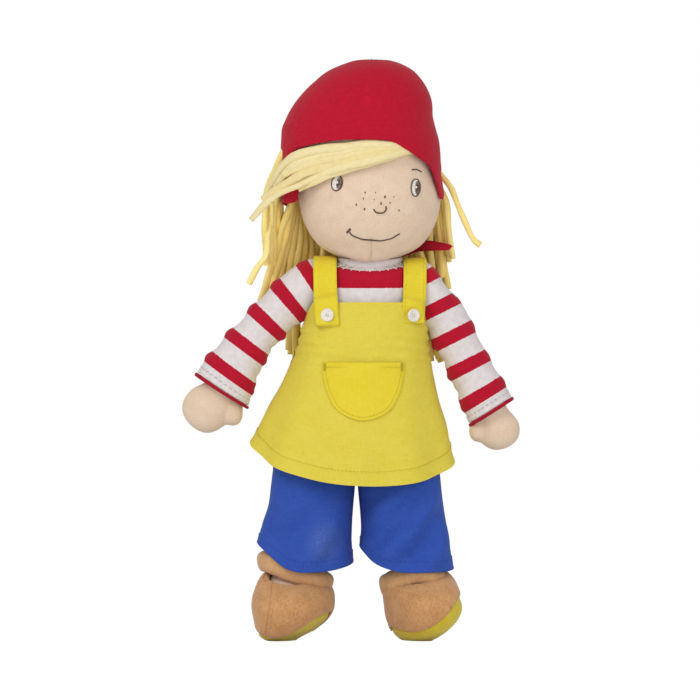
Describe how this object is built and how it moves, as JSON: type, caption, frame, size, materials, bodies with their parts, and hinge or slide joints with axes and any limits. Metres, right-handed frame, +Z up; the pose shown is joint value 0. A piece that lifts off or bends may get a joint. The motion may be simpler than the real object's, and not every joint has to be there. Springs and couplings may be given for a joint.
{
  "type": "rag doll",
  "caption": "Soft stuffed rag doll with jersey hair, headscarf, striped shirt, pinafore dress with pocket, wide trousers and velour shoes; head, arms and legs swing.",
  "frame": {"origin": "middle of the doll's bounding box on the floor that its soles stand on", "axes": "+Z up through the head, -Y the way the face looks, +X the doll's own left"},
  "size_m": [0.2204, 0.0926, 0.3797],
  "materials": {
    "skin_velour": "soft short-pile velour, skin colour",
    "striped_jersey": "cotton jersey knit in red and white stripes",
    "white_rib_jersey": "white rib knit",
    "red_jersey": "smooth red cotton jersey",
    "yellow_cotton": "yellow woven cotton with topstitching",
    "blue_cotton": "blue woven cotton with topstitching",
    "white_elastic": "woven elastic",
    "hair_jersey": "pale yellow jersey strips, matt",
    "brown_thread": "satin-stitched embroidery thread",
    "shoe_velour": "short-pile velour, light brown",
    "sole_velour": "short-pile velour, yellow",
    "button_plastic": "glossy white plastic, lightly domed"
  },
  "bodies": {
    "torso": {"torso": "skin_velour", "shirt_body": "striped_jersey", "shirt_neckband": "white_rib_jersey", "trouser_seat": "blue_cotton", "trouser_waistband": "white_elastic", "dress_front": "yellow_cotton", "dress_back": "yellow_cotton", "dress_pocket": "yellow_cotton", "right_dress_strap": "yellow_cotton", "left_dress_strap": "yellow_cotton", "right_strap_button": "button_plastic", "left_strap_button": "button_plastic"},
    "neck": {"neck": "skin_velour"},
    "head": {"head": "skin_velour", "right_eye": "brown_thread", "left_eye": "brown_thread", "left_eyebrow": "brown_thread", "nose_stitch": "brown_thread", "mouth_stitch": "brown_thread", "headscarf": "red_jersey", "headscarf_knot": "red_jersey", "right_scarf_tail": "red_jersey", "left_scarf_tail": "red_jersey", "hair_fringe": "hair_jersey", "right_hair": "hair_jersey", "left_hair": "hair_jersey", "back_hair": "hair_jersey"},
    "right_arm": {"right_arm": "skin_velour", "right_sleeve": "striped_jersey", "right_cuff_edge": "red_jersey"},
    "left_arm": {"left_arm": "skin_velour", "left_sleeve": "striped_jersey", "left_cuff_edge": "red_jersey"},
    "right_leg": {"right_leg": "skin_velour", "right_trouser_leg": "blue_cotton", "right_shoe_upper": "shoe_velour", "right_shoe_sole": "sole_velour", "right_shoe_strap": "shoe_velour"},
    "left_leg": {"left_leg": "skin_velour", "left_trouser_leg": "blue_cotton", "left_shoe_upper": "shoe_velour", "left_shoe_sole": "sole_velour", "left_shoe_strap": "shoe_velour"}
  },
  "joints": [
    {"name": "neck_nod", "type": "hinge", "parent": "torso", "child": "neck", "pos_m": [0.01226, 0.00091, 0.24], "axis": [1, 0, 0], "range_deg": [-15, 15], "deforming": ["back_hair", "right_hair", "left_hair", "shirt_neckband", "shirt_body", "left_scarf_tail", "right_scarf_tail"]},
    {"name": "neck_turn", "type": "hinge", "parent": "neck", "child": "head", "pos_m": [0.01226, 0.00091, 0.24], "axis": [0, 0, 1], "range_deg": [-45, 45], "deforming": ["back_hair", "right_hair", "left_hair"]},
    {"name": "right_shoulder", "type": "hinge", "parent": "torso", "child": "right_arm", "pos_m": [-0.02574, 0.00091, 0.2325], "axis": [-1, 0, 0], "range_deg": [-20, 120], "deforming": ["shirt_body", "right_hair", "right_dress_strap"]},
    {"name": "left_shoulder", "type": "hinge", "parent": "torso", "child": "left_arm", "pos_m": [0.05026, 0.00091, 0.2325], "axis": [-1, 0, 0], "range_deg": [-20, 120], "deforming": ["shirt_body", "left_hair", "left_dress_strap"]},
    {"name": "right_hip", "type": "hinge", "parent": "torso", "child": "right_leg", "pos_m": [-0.02174, 0.00091, 0.121], "axis": [-1, 0, 0], "range_deg": [-20, 90], "deforming": ["dress_front", "dress_back", "trouser_seat", "right_trouser_leg"]},
    {"name": "left_hip", "type": "hinge", "parent": "torso", "child": "left_leg", "pos_m": [0.02826, 0.00091, 0.121], "axis": [-1, 0, 0], "range_deg": [-20, 90], "deforming": ["dress_front", "dress_back", "trouser_seat", "left_trouser_leg"]}
  ]
}
